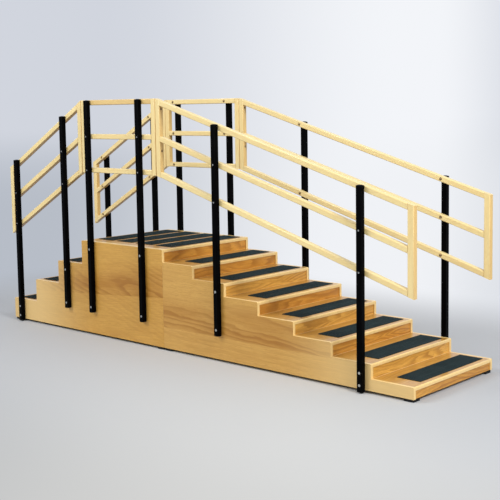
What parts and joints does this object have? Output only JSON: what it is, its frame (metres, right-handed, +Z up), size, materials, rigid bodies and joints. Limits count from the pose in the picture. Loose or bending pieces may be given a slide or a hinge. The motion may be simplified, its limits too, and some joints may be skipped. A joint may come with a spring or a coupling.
{
  "type": "two-sided training staircase",
  "caption": "Free-standing timber staircase with a low-riser flight and a high-riser flight up to a shared platform, three-rail handrail frames on square posts, and rubber tread strips.",
  "frame": {"origin": "on the floor, under the middle of the staircase's overall box", "axes": "+X along the stairs towards the gentle flight's foot, -Y the front side, +Z up"},
  "size_m": [3.302, 0.826, 1.5096],
  "materials": {
    "panel_oak": "clear satin lacquer on oak veneer plywood, grain along the stairs",
    "riser_oak": "clear satin lacquer on oak veneer, warmer tone, grain across the stairs",
    "tread_oak": "clear gloss lacquer on oak veneer with rounded nose",
    "rail_wood": "clear lacquer on pale solid hardwood with eased edges",
    "batten_wood": "plain sawn timber",
    "post_steel": "satin black powder coat",
    "cap_plastic": "moulded black plastic",
    "ribbed_rubber": "ribbed blue-black rubber",
    "foot_rubber": "plain black rubber"
  },
  "bodies": {
    "root": {"steep_side_front": "panel_oak", "steep_side_back": "panel_oak", "gentle_side_front": "panel_oak", "gentle_side_back": "panel_oak", "platform_end": "riser_oak", "gentle_end": "riser_oak", "platform_deck": "tread_oak", "steep_risers": "riser_oak", "gentle_risers": "riser_oak", "steep_tread_1": "tread_oak", "steep_tread_2": "tread_oak", "steep_tread_3": "tread_oak", "gentle_tread_1": "tread_oak", "gentle_tread_2": "tread_oak", "gentle_tread_3": "tread_oak", "gentle_tread_4": "tread_oak", "gentle_tread_5": "tread_oak", "gentle_tread_6": "tread_oak", "gentle_tread_7": "tread_oak", "steep_strips": "ribbed_rubber", "platform_strips": "ribbed_rubber", "gentle_strips": "ribbed_rubber", "post_front_1": "post_steel", "post_front_2": "post_steel", "post_front_3": "post_steel", "post_front_4": "post_steel", "post_front_5": "post_steel", "post_front_6": "post_steel", "post_back_1": "post_steel", "post_back_2": "post_steel", "post_back_3": "post_steel", "post_back_4": "post_steel", "post_back_5": "post_steel", "post_back_6": "post_steel", "post_caps": "cap_plastic", "rails_front_steep": "rail_wood", "rails_front_platform": "rail_wood", "rails_front_gentle": "rail_wood", "rails_back_steep": "rail_wood", "rails_back_platform": "rail_wood", "rails_back_gentle": "rail_wood", "stiles_front": "rail_wood", "stiles_back": "rail_wood", "battens": "batten_wood", "feet": "foot_rubber"}
  },
  "joints": []
}
